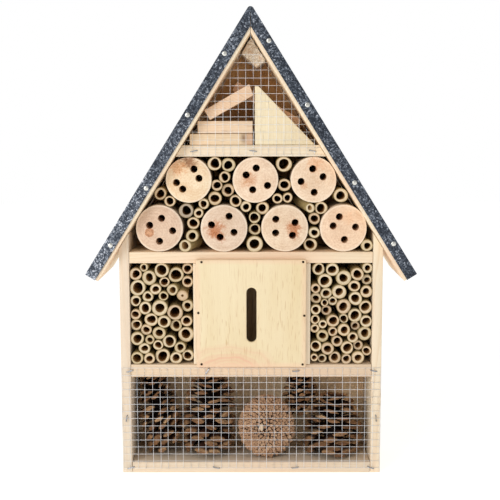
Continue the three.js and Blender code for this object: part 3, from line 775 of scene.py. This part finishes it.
def add_staples():
    bm = bmesh.new()
    for x, board, degrees in STAPLES:
        low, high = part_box(board)
        add_staple(bm, x * MM, (low.z + high.z) / 2, low.y, radians(degrees))
    mesh_low, mesh_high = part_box("cone_bay_mesh")
    for wall, degrees in WALL_STAPLES:
        low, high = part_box(wall)
        add_staple(bm, (low.x + high.x) / 2, (mesh_low.z + mesh_high.z) / 2, low.y, radians(degrees))
    add_piece("mesh_staples", bm, metal_material("staple_zinc", "#babec6", "#545862", 0.3), "steel")


# -------- wire mesh

WIRE_RADIUS = 0.17 * MM
WIRE_STEP = 18 * MM
WIRE_BOW = 0.21 * MM
WAVER = 0.16 * MM
CONE_COLUMNS = 34
CONE_ROWS = 14
ATTIC_ROWS = 13
ATTIC_MIDDLE = 2.3 * MM
SOFFIT_GAP = 0.6 * MM


def add_wire(bm, start, end, dice):
    """A nearly straight wire, with the small bends of unrolled mesh."""
    start, end = Vector(start), Vector(end)
    steps = max(3, round((end - start).length / WIRE_STEP))
    phase = dice.uniform(0, 6.28)
    points = []
    for step in range(steps + 1):
        share = step / steps
        push = Vector((dice.uniform(-1, 1), 0, dice.uniform(-1, 1))) * WAVER * 0.7
        push.y = WIRE_BOW * sin(pi * share) * sin(phase + share * 7)
        points.append(start.lerp(end, share) + push)
    sweep(bm, points, WIRE_RADIUS)


def soffit_half(z, clearance=SOFFIT_GAP):
    """Half the gap between the roof boards' undersides at a height."""
    points = [vert.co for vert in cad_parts["attic_floor"].data.vertices]
    (_, _, low), (_, _, high) = extent(points)
    wide = max(co.x for co in points if co.z < low + 1e-4)
    narrow = max(co.x for co in points if co.z > high - 1e-4)
    return wide - (z - low) * (wide - narrow) / (high - low) - clearance


def add_wire_meshes():
    zinc = metal_material("mesh_zinc", "#f6f8fa", "#ccd0d8", 0.3, 500, metallic=0.25)
    dice = Random(77)
    inset = Vector((WIRE_RADIUS, WIRE_RADIUS, WIRE_RADIUS))

    def along(start, end, share):
        return start + (end - start) * share + dice.uniform(-1, 1) * WAVER

    low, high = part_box("cone_bay_mesh")
    low, high = low + inset, high - inset
    front, back = low.y, high.y
    bm = bmesh.new()
    for column in range(CONE_COLUMNS + 1):
        x = along(low.x, high.x, column / CONE_COLUMNS)
        add_wire(bm, (x, front, low.z), (x, front, high.z), dice)
    for row in range(CONE_ROWS + 1):
        z = along(low.z, high.z, row / CONE_ROWS)
        add_wire(bm, (low.x, back, z), (high.x, back, z), dice)
    add_piece("cone_bay_mesh_wires", bm, zinc, "wire", "cone_bay_mesh", sharp=pi)

    pitch = (high.z - low.z) / CONE_ROWS
    low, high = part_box("attic_mesh")
    low, high = low + inset, high - inset
    bm = bmesh.new()
    for row in range(ATTIC_ROWS + 1):
        z = along(low.z, high.z, row / ATTIC_ROWS)
        add_wire(bm, (-soffit_half(z), back, z), (soffit_half(z), back, z), dice)
    count = int(soffit_half(low.z, 0) / pitch) + 1
    for column in range(-count, count + 1):
        x = ATTIC_MIDDLE + column * pitch + dice.uniform(-1, 1) * WAVER
        end = low.z
        while end < high.z and soffit_half(end + pitch / 8) > abs(x):
            end += pitch / 8
        if end - low.z > pitch / 2:
            add_wire(bm, (x, front, low.z), (x, front, end), dice)
    add_piece("attic_mesh_wires", bm, zinc, "wire", "attic_mesh", sharp=pi)


# -------- logs

LOG_SIDES = 72
HOLE_SIDES = 28
LOG_HOLE_DEPTH = 45 * MM
LOG_CHAMFER = 0.5 * MM
KNOT_RED = "#bc703e"
KNOT_BROWN = "#92603e"
# Each log: pale and deep tone, raggedness of its knots, and the knots, each as millimetres across and
# up from the log's middle, size, shade, strength.
LOGS = {
    "log_low_1": ("#e8ceb5", "#caa88e", 0.5, [
        (-8.4, -3.4, 4.2, "#c48c66", 0.9), (-8.4, -3.4, 2.4, "#deac86", 0.6)]),
    "log_low_2": ("#ecd6c0", "#d0b296", 2.4, [
        (-7, -1, 9.5, KNOT_RED, 0.75), (-9, -4.5, 5, KNOT_RED, 0.6), (-3, -8, 5, KNOT_RED, 0.5)]),
    "log_low_3": ("#f3ddc2", "#d6b798", 2.4, [
        (7.3, 0.7, 8, KNOT_RED, 0.75), (7, -5, 5.5, KNOT_RED, 0.6)]),
    "log_low_4": ("#f6dabd", "#dab696", 2.4, [(3, 9, 7, "#ecb88c", 0.4)]),
    "log_high_1": ("#f6e4c6", "#e2c098", 2.4, [
        (-1, 16, 8, KNOT_BROWN, 0.75), (3, 13, 6, KNOT_BROWN, 0.6),
        (-9, 10, 9, "#de965c", 0.55)]),
    "log_high_2": ("#f6dfc5", "#dcbc9e", 2.4, [
        (-4.8, 0, 7.5, "#cc8a5c", 0.6), (-9, -3, 5, "#d69c6e", 0.4)]),
    "log_high_3": ("#f6e0c6", "#d9ba9b", 2.4, [
        (1, 13, 9, "#de9e6c", 0.5), (-8, -5, 4, "#ce9264", 0.5)]),
}


def add_log(node, seed):
    (x, z, radius), *holes = front_rings(node)
    low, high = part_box(node)
    front = low.y
    dice = Random(node)
    wobble = [(dice.uniform(0, 6.28), dice.uniform(0.002, 0.006)) for _ in range(2)]
    bm = bmesh.new()
    shell = []
    steps = ((0.975, 0), (0.993, 0.3 * LOG_CHAMFER), (1, LOG_CHAMFER), (1, high.y - front))
    for share, deep in steps:
        def outline(angle):
            waves = sum(size * cos((k + 2) * angle + phase) for k, (phase, size) in enumerate(wobble))
            reach = radius * share * (1.006 + waves)
            return (x + reach * cos(angle), front + deep, z + reach * sin(angle))
        shell.append(ring_of(bm, LOG_SIDES, outline))
    skin_rings(bm, shell)
    bm.faces.new(shell[-1])
    outlines = [shell[0]]
    depth = front + LOG_HOLE_DEPTH
    for hole_x, hole_z, size in holes:
        steps = ((1.06, front), (1, front + 0.25 * MM), (1, depth), (0.5, depth + 1.5 * MM))
        wall = [flat_ring(bm, HOLE_SIDES, hole_x, y, hole_z, size * share) for share, y in steps]
        skin_rings(bm, wall)
        bm.faces.new(wall[-1])
        outlines.append(wall[0])
    fill_between(bm, *outlines)
    material = log_material(node + "_wood", x, z, radius, seed, *LOGS[node])
    add_piece(node + "_sawn", bm, material, "log_wood", node)


def add_logs():
    for seed, node in enumerate(sorted(LOGS)):
        add_log(node, seed + 1.3)


# -------- bamboo

TUBE_SIDES = 30
BORE_DEPTH = 46 * MM
TUBE_GROWTH = 0.13
TUBE_ARRIS = 0.22 * MM
DEEPEST_SETBACK = 5.5 * MM
LEAN_REACH = 20 * MM
# Tubes unlike the rest, by the place of their middle in millimetres: lean across and up with depth,
# setback, bore against radius and tint.
ODD_TUBES = {
    (-55, 196.5): (0.40, 0.06, 0, 0.60, 0.12),
    (49.4, 228): (-0.45, 0.22, 0.5, 0.50, 0.20),
    (-54, 226): (0, 0, 0, 0.62, 1),
    (-57.5, 153): (-0.02, 0.30, 3, 0.20, 0.85),
    (-68, 158): (0.25, 0.05, 2, 0.55, 0.15),
    (3.2, 220.5): (0.02, 0.05, 0.5, 0.72, 0.10),
}
ODD_TUBE_REACH = 2.4 * MM


def tubes_of(node):
    """Each tube of a bundle, as (x, z, radius): its bore's smaller ring shares its middle."""
    rings = front_rings(node)
    tubes = []
    while rings:
        tube = rings.pop(0)
        rings.remove(min(rings, key=lambda ring: hypot(ring[0] - tube[0], ring[1] - tube[1])))
        tubes.append(tube)
    return sorted(tubes)


def grown_tubes(nodes):
    """Each node's tubes, widened into the free room between them and their neighbours."""
    groups = {node: tubes_of(node) for node in nodes}
    rounds = [tube for group in groups.values() for tube in group]
    rounds += [front_rings(node)[0] for node in LOGS]
    for node, group in groups.items():
        low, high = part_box(node)
        for index, (x, z, radius) in enumerate(group):
            room = min(hypot(x - other[0], z - other[1]) - radius - other[2]
                       for other in rounds if other != (x, z, radius)) / 2
            if "bundle" in node:
                room = min(room, 0.2 * MM + min(x - low.x, high.x - x, z - low.z, high.z - z) - radius)
            if "slope" not in node:
                group[index] = (x, z, radius + max(0, min(TUBE_GROWTH * radius, room)))
    return groups


def odd_tube(x, z):
    """What is written for the tube nearest to a place, if one is within a few millimetres."""
    gap, odd = min((hypot(across * MM - x, up * MM - z), odd) for (across, up), odd in ODD_TUBES.items())
    return odd if gap < ODD_TUBE_REACH else None


def add_tube(bm, layer, tube, front, back, dice):
    x, z, radius = tube
    tint = dice.random() * 0.9
    outer = (dice.uniform(0, 6.28), dice.uniform(0.004, 0.04), dice.uniform(0, 6.28), dice.uniform(0, 0.022))
    inner = (dice.uniform(0, 6.28), dice.uniform(0.02, 0.11), dice.uniform(0, 6.28), dice.uniform(0, 0.06))
    shift = Vector((dice.uniform(-1, 1), 0, dice.uniform(-1, 1))) * radius * 0.07
    bore = radius * dice.uniform(0.52, 0.68)
    face = front + dice.uniform(0, 1) ** 2 * DEEPEST_SETBACK
    slant = (dice.uniform(-0.05, 0.05), dice.uniform(-0.05, 0.05))
    lean = (dice.uniform(-0.04, 0.04), dice.uniform(-0.03, 0.04))
    odd = odd_tube(x, z)
    if odd:
        *lean, setback, share, tint = odd
        face, bore = front + setback * MM, radius * share

    def wavy(shape, angle):
        first, oval, second, lobed = shape
        return 1.02 - 0.5 * (oval + lobed) + oval * cos(2 * angle + first) + lobed * cos(3 * angle + second)

    def ring(share, y, cut, tight=0):
        """share 1 is the skin and 0 the bore wall; tight pulls the skin in."""
        depth = min(y - face, LEAN_REACH)
        off = shift * (1 - share)

        def place(angle):
            hole = bore * wavy(inner, angle)
            reach = hole + ((radius - tight) * wavy(outer, angle) - hole) * share
            across, up = reach * cos(angle), reach * sin(angle)
            tilt = (across * slant[0] + up * slant[1]) if y < face + 2 * MM else 0
            return (x + across + off.x + depth * lean[0], y + tilt, z + up + off.z + depth * lean[1])
        verts = ring_of(bm, TUBE_SIDES, place)
        for vert in verts:
            vert[layer] = (tint, cut, share, 1)
        return verts

    edge = TUBE_ARRIS
    close_rings(bm, [ring(*step) for step in (
        (1, back, 0), (1, face + LEAN_REACH, 0), (1, face + 6 * MM, 0), (1, face + 1.6 * edge, 0),
        (1, face + 0.4 * edge, 0.7, edge * 0.55), (0.93, face, 1, edge * 0.6), (0.5, face, 1),
        (0.1, face + 0.2 * edge, 1), (0, face + 1.2 * edge, 0.5), (0, face + 5 * MM, 0),
        (0, face + LEAN_REACH, 0), (0, front + BORE_DEPTH, 0),
    )])


def add_bamboo():
    material = bamboo_material()
    nodes = sorted(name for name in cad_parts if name.startswith("bamboo"))
    for node, tubes in grown_tubes(nodes).items():
        low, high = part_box(node)
        dice = Random(node)
        bm, layer = painted_mesh()
        for tube in tubes:
            add_tube(bm, layer, tube, low.y, high.y, dice)
        add_piece(node + "_tubes", bm, material, "bamboo", node, sharp=radians(50))


# -------- pine cones

BLUNT_END = [(-1, -0.1), (-0.62, 0.5), (0, 1), (0.62, 0.5), (1, -0.1), (0.55, -0.62), (0, -0.8),
             (-0.55, -0.62)]
# Stations along a scale: share of its length, of its width, of its thickness.
SCALE_SHAPE = [(0, 0.34, 0.30), (0.35, 0.52, 0.26), (0.64, 0.80, 0.34), (0.84, 1, 0.78), (0.95, 0.98, 1),
               (1, 0.74, 0.70)]


def add_scale(bm, layer, root, out, up, size, dice, droop):
    """One woody scale: a thin tongue that widens to a blunt, keeled, ragged end with a small beak.
    out points along the scale, up is its upper side, size is its length, width and thickness."""
    length, width, thick = size
    tint = dice.random()
    side = out.cross(up).normalized()
    twist = dice.uniform(-0.22, 0.22)
    side, up = side * cos(twist) + up * sin(twist), up * cos(twist) - side * sin(twist)
    rings = []
    for share, wide, deep in SCALE_SHAPE:
        lift = 0.10 * length * sin(pi * share) - droop * length * share * share
        rough = 0.16 * share ** 3
        ring = []
        for across, high in BLUNT_END:
            across *= wide * (1 + dice.uniform(-rough, rough))
            high *= deep * (1 + dice.uniform(-rough, rough) * 2)
            along = length * share + width * dice.uniform(-rough, rough) * 0.6
            place = root + out * along + side * (across * width / 2) + up * (lift + high * thick / 2)
            ring.append(painted(bm, layer, place, (tint, share, float(high > 0), float(share > 0.97))))
        rings.append(ring)
    tip = root + out * (length * 1.04) + up * (length * (0.02 - droop))
    close_to_beak(bm, rings, painted(bm, layer, tip, (tint, 1, 1, 1)))


def add_core(bm, layer, base, length, radius):
    """The spindle that the scales grow from, about +Z, near black as painted shade deep between
    the scales.
    """
    rings = []
    for share in (0, 0.25, 0.5, 0.75, 0.97):
        reach, height = radius * (1 - 0.75 * share), base + length * share
        ring = ring_of(bm, 12, lambda angle: (reach * cos(angle), reach * sin(angle), height))
        # near black: painted shade deep between the scales
        for vert in ring:
            vert[layer] = (0.8, 0, 0, 0)
        rings.append(ring)
    close_rings(bm, rings)


def cone_mesh(shape, seed):
    """An open pine cone of unit height and radius about +Z, base down: a spiral of scales whose
    opening falls from the base to the tip."""
    count, turns, opening, end, flat = shape
    dice = Random(seed)
    bm, layer = painted_mesh()
    add_core(bm, layer, 0.06, 0.86 * flat, 0.34)
    rise = Vector((0, 0, 1))
    for index in range(count):
        share = (index + 0.5) / count
        angle = index * GOLDEN_ANGLE + dice.uniform(-0.10, 0.10)
        radial = Vector((cos(angle), sin(angle), 0))
        slant = radians(opening[0] + (opening[1] - opening[0]) * share ** 1.3 + dice.uniform(-8, 8))
        out = (rise * cos(slant) + radial * sin(slant)).normalized()
        up = (rise * sin(slant) - radial * cos(slant)).normalized()
        bulge = sin(pi * (0.20 + 0.80 * share)) ** turns
        length = (0.20 + 0.62 * bulge) * dice.uniform(0.94, 1.05)
        root = rise * (flat * (0.05 + 0.86 * share)) + radial * 0.18 * (1 - 0.6 * share)
        width = end[0] * (0.45 + 0.55 * bulge) * dice.uniform(0.78, 1.15)
        thick = end[1] * (0.55 + 0.45 * bulge) * dice.uniform(0.7, 1.25)
        add_scale(bm, layer, root, out, up, (length, width, thick), dice, 0.04 + 0.08 * (1 - share))
    return bm


def fit_into(bm, axis, low, high):
    """Stands the cone along an axis, then stretches it to fill a box."""
    turn = Vector(axis).normalized().to_track_quat("Z", "Y").to_matrix().to_4x4()
    bmesh.ops.transform(bm, matrix=turn, verts=bm.verts)
    first, last = extent([vert.co for vert in bm.verts])
    for vert in bm.verts:
        for index in range(3):
            share = (vert.co[index] - first[index]) / (last[index] - first[index])
            vert.co[index] = low[index] + (high[index] - low[index]) * share


# Each open cone: node, axis, millimetres it takes outside its plain solid, seed, and shape: number of
# scales, taper, opening from base to tip, width and thickness of an end, height against radius.
OPEN_CONES = [
    ("pine_cone_left_outer", (-0.34, 0.10, 0.92), (3, 3, 1.5), 501, (112, 0.45, (104, 22), (0.46, 0.135), 2.5)),
    ("pine_cone_left_inner", (0.03, 0.05, 1), (4.5, 2.5, 1), 502, (112, 0.45, (104, 30), (0.50, 0.140), 2.6)),
    ("pine_cone_right_upper", (-0.10, -0.05, 1), (3, 2, 1), 503, (116, 0.55, (94, 26), (0.42, 0.170), 2.3)),
    ("pine_cone_right_front", (0.05, 0.08, 1), (2.5, 2, 0.5), 504, (94, 0.45, (98, 40), (0.56, 0.125), 1.9)),
]


def add_open_cones():
    material = cone_material("cone_scales", "#281a14", "#583828", "#b28258",
                             "#e2c094", "#68442e")
    board_low, board_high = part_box("floor_board")
    floor, front = board_high.z + 0.2 * MM, board_low.y + 0.5 * MM
    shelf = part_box("lower_shelf")[0].z - 0.3 * MM
    for node, axis, room, seed, shape in OPEN_CONES:
        low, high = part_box(node)
        low, high = low - Vector(room) * MM, high + Vector(room) * MM
        low = (low.x, max(low.y, front), max(low.z, floor))
        high = (high.x, high.y, min(high.z, shelf))
        bm = cone_mesh(shape, seed)
        fit_into(bm, axis, low, high)
        add_piece(node + "_scales", bm, material, "cone_scales", node, sharp=radians(50))


SHIELD = [(1, 0), (0.62, 0.42), (0, 0.86), (-0.62, 0.5), (-0.86, 0), (-0.62, -0.5), (0, -0.86),
          (0.62, -0.42)]
# Steps up a shield: share of its outline, height against its size, how far along from dark to
# pale. The dark at each shield's foot is painted shade in the creases between shields.
SHIELD_STEPS = [(1, -0.8, 0.1), (1.02, -0.06, 0.76), (0.86, 0.12, 0.81), (0.56, 0.2, 0.96), (0.28, 0.18, 0.86)]
SHIELD_TILT = 0.5
SHIELDS = 410
SHIELD_SIZE = 2.35 * MM
POLE = Vector((-0.20, -1, 0.13)).normalized()
BLUNT_DEPTH = 12 * MM


def add_shield(bm, layer, place, normal, away, size, dice):
    """The end of a closed cone's scale: a low rhombic shield with a small beak near its outer corner."""
    side = normal.cross(away).normalized()
    tint = 0.14 + 0.36 * dice.random()
    rings = []
    for share, height, along in SHIELD_STEPS:
        ring = []
        for out, across in SHIELD:
            reach = size * share * (1 + dice.uniform(-0.16, 0.16))
            lift = size * height + SHIELD_TILT * size * out
            corner = place + away * (out * reach) + side * (across * reach) + normal * lift
            ring.append(painted(bm, layer, corner, (tint, along, 1, along ** 8)))
        rings.append(ring)
    tip = place + away * (0.1 * size) + normal * (size * 0.5)
    close_to_beak(bm, rings, painted(bm, layer, tip, (tint, 0.92, 1, 0.4)))


def polar_of(share):
    """How far round from the pole a shield stands: close to even as seen end on, out to past the side."""
    seen = 1.45 * share
    level = asin(sqrt(seen)) if seen < 1 else pi / 2 + (seen - 1) * 1.4
    return 0.65 * level + 0.35 * acos(1 - 1.7 * share)


def add_closed_cone():
    """The middle cone lies end on, blunt end forward: a spiral of shields round a pale stalk scar."""
    node = "pine_cone_middle"
    low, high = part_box(node)
    low, high = low - Vector((0.6, 0, 0)) * MM, high + Vector((3, 0, 4)) * MM
    middle, half = (low + high) / 2, (high - low) / 2
    middle.y = low.y + BLUNT_DEPTH
    dice = Random(9)
    first = POLE.orthogonal().normalized()
    second = POLE.cross(first)
    bm, layer = painted_mesh()

    def on_surface(normal, share):
        deep = BLUNT_DEPTH if normal.y < 0 else high.y - middle.y
        return middle + Vector((normal.x * half.x, normal.y * deep, normal.z * half.z)) * share

    for index in range(SHIELDS):
        polar = polar_of((index + 2.4) / (SHIELDS + 2.4))
        angle = index * GOLDEN_ANGLE + dice.uniform(-0.05, 0.05)
        radial = first * cos(angle) + second * sin(angle)
        normal = (POLE * cos(polar) + radial * sin(polar)).normalized()
        away = (radial * cos(polar) - POLE * sin(polar)).normalized()
        size = SHIELD_SIZE * (0.86 + 0.24 * sin(min(polar, pi / 2))) * dice.uniform(0.86, 1.16)
        add_shield(bm, layer, on_surface(normal, dice.uniform(0.95, 0.99)), normal, away, size, dice)
    # a near-black ball beneath the shields: painted shade in the gaps between them
    shade_core = bmesh.ops.create_uvsphere(bm, u_segments=40, v_segments=24, radius=1)
    for vert in shade_core["verts"]:
        vert.co = on_surface(vert.co.normalized(), 0.95)
        vert[layer] = (0.9, 0, 0, 0)
    material = cone_material("closed_cone_scales", "#221611", "#422a1e", "#aa7a58",
                             "#f0ceac", "#cea480")
    add_piece(node + "_scales", bm, material, "cone_scales", node, sharp=radians(40))
    add_stalk_scar(on_surface(POLE, 0.99))


def add_stalk_scar(place):
    """The pale broken stalk end, a lumpy little cup on the cone's pole."""
    dice = Random(31)
    bm = bmesh.new()
    turn = POLE.to_track_quat("Z", "Y").to_matrix()
    lumps = [dice.uniform(0.8, 1.2) for _ in range(12)]
    rings = []
    for reach, height in ((1.15, -1.6), (1.1, 0), (0.92, 0.9), (0.62, 1.2), (0.3, 0.7)):
        ring = []
        for index, lump in enumerate(lumps):
            angle = 2 * pi * index / len(lumps)
            point = Vector((cos(angle) * 1.9 * reach, sin(angle) * 2.9 * reach, height)) * lump
            ring.append(bm.verts.new(place + turn @ point * MM))
        rings.append(ring)
    close_rings(bm, rings)
    graph = Graph("stalk_scar")
    grit = graph.place.noise(1500, 3, 0.6)
    graph.finish(grit.blend("#f6e6cc", "#b08e6c"), 0.8, grit.bump(0.0002, 0.8))
    add_piece("pine_cone_middle_scar", bm, graph.material, "cone_scales")


# -------- attic offcuts

RIDGE_SPREAD = 1.16
RIDGE_LIFT = 1.2 * MM
RIDGE_CUTS = 12


def rough_material():
    """Crumbling end wood, pale and dark grains side by side."""
    graph = Graph("rough_end_wood")
    grain = graph.place.noise(1250, 3, 0.7)
    colour = grain.ramp((0.34, "#92765c"), (0.44, "#d8c6ae"), (0.56, "#eee4d2"),
                        (0.66, "#fcfaf4"))
    patch = graph.place.noise(190, 3, 0.6).ramp((0.5, 0), (0.7, 0.6))
    return graph.finish(patch.blend(colour, "#cea074"), 0.85, grain.bump(0.0005, 0.9), specular=0.2)


def add_ridge_offcut():
    """The offcut wedged in the ridge, broken and crumbly all over."""
    node = "offcut_ridge"
    low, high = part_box(node)
    top = Vector(((low.x + high.x) / 2, low.y, high.z))
    bm = cad_mesh(node)
    bmesh.ops.subdivide_edges(bm, edges=bm.edges, cuts=RIDGE_CUTS, use_grid_fill=True)
    bmesh.ops.triangulate(bm, faces=bm.faces)
    bm.normal_update()
    for vert in bm.verts:
        coarse = noise.noise(vert.co * 260)
        fine = noise.noise(vert.co * 900 + Vector((5, 3, 9)))
        vert.co += vert.normal * (1.1 * coarse + 0.5 * fine - 0.5) * MM
        vert.co = top + (vert.co - top) * RIDGE_SPREAD
        vert.co.y = max(vert.co.y, low.y)
        vert.co.z += RIDGE_LIFT
    add_piece(node + "_rough", bm, rough_material(), "offcut_pine", node, sharp=radians(50))


# Each offcut: turn of its grain, seed, pale and dark tone, depth of its saw marks, width of a ring.
OFFCUTS = {
    "offcut_bottom": (ALONG_X, 61, "#edd6b4", "#d8ac82", 0.2, 2.4),
    "offcut_second": (ALONG_X, 63, "#f1d8b8", "#d6ae88", 0.3, 2.2),
    "offcut_leaning": ((0, radians(62), 0), 65, "#f1d2b2", "#d0a27c", 0.4, 2),
    "offcut_triangle": (ALONG_Z, 67, "#eee0c0", "#e2ca9e", 0, 3),
    "offcut_back": ((0, radians(118), 0), 69, "#e8be9a", "#be8c66", 0.5, 2.2),
}


def add_offcuts():
    for node, (turn, seed, pale, dark, saw, ring) in OFFCUTS.items():
        low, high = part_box(node)
        knot = None
        # the bottom lath: a dark knot, and painted shadow of the triangle offcut towards its right end
        if node == "offcut_bottom":
            knot = (high.x - 7.5 * MM, low.z + 0.62 * (high.z - low.z), high.x)
        material = wood_material(node + "_wood", turn, seed, pale, dark, (0.04, 0.05), ring=ring, saw=saw,
                                 contrast=0.42, roughness=0.7, dashes=0.3, knot=knot,
                                 blush="#eeceae" if saw else None)
        softened(node, material, "offcut_pine", 0.5 * MM)
    add_ridge_offcut()


# -------- the whole

add_camera()
add_studio()
add_case()
add_butterfly_panel()
add_roof()
add_fasteners()
add_staples()
add_wire_meshes()
add_logs()
add_bamboo()
add_open_cones()
add_closed_cone()
add_offcuts()
